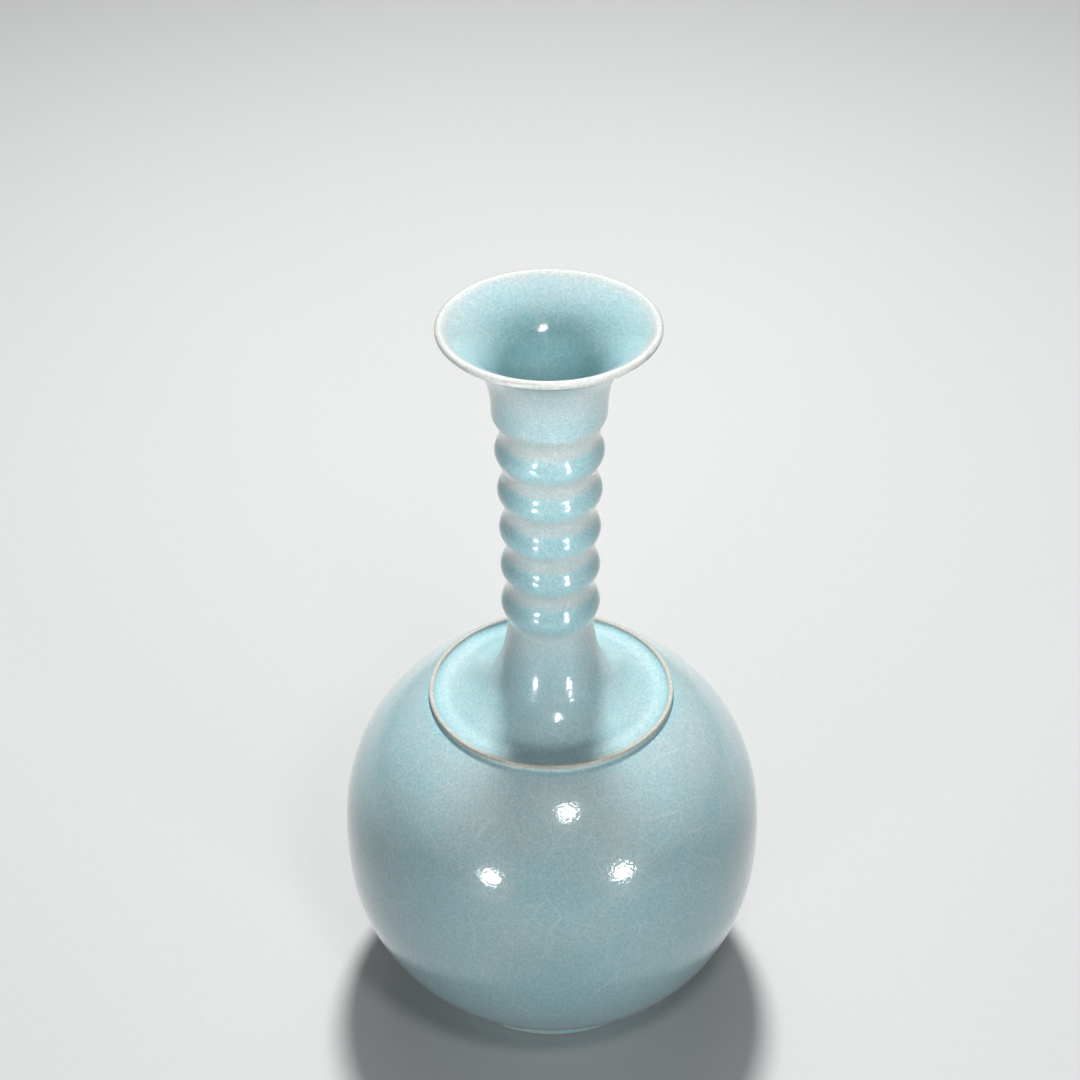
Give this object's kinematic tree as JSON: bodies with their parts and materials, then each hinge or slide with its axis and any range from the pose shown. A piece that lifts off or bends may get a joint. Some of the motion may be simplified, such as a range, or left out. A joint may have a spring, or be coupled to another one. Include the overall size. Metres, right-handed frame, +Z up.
{
  "type": "long-neck bottle vase",
  "caption": "Round-bodied bottle vase with a collared shoulder dish, a string-ribbed long neck and a trumpet mouth, glazed stoneware.",
  "frame": {"origin": "centre of the foot ring's standing rim, on the plane that the vase stands on", "axes": "+Z up along the vase's axis of revolution, towards the mouth; +X and +Y are any two level directions, because the form is round"},
  "size_m": [0.1836, 0.1836, 0.34],
  "materials": {
    "celadon_glaze": "glossy sky-green celadon glaze with a fine crackle, cream where it runs thin on the lip and collar edge",
    "foot_clay": "glazed on its side, bare buff stoneware on the flat standing rim",
    "luting_slip": "fired clay slip, hidden inside the joints"
  },
  "bodies": {
    "root": {"foot_ring": "foot_clay", "lower_body": "celadon_glaze", "upper_body": "celadon_glaze", "shoulder_dish": "celadon_glaze", "ribbed_neck": "celadon_glaze", "trumpet_mouth": "celadon_glaze", "foot_slip_joint": "luting_slip", "belly_slip_joint": "luting_slip", "shoulder_slip_joint": "luting_slip", "neck_slip_joint": "luting_slip", "mouth_slip_joint": "luting_slip"}
  },
  "joints": []
}
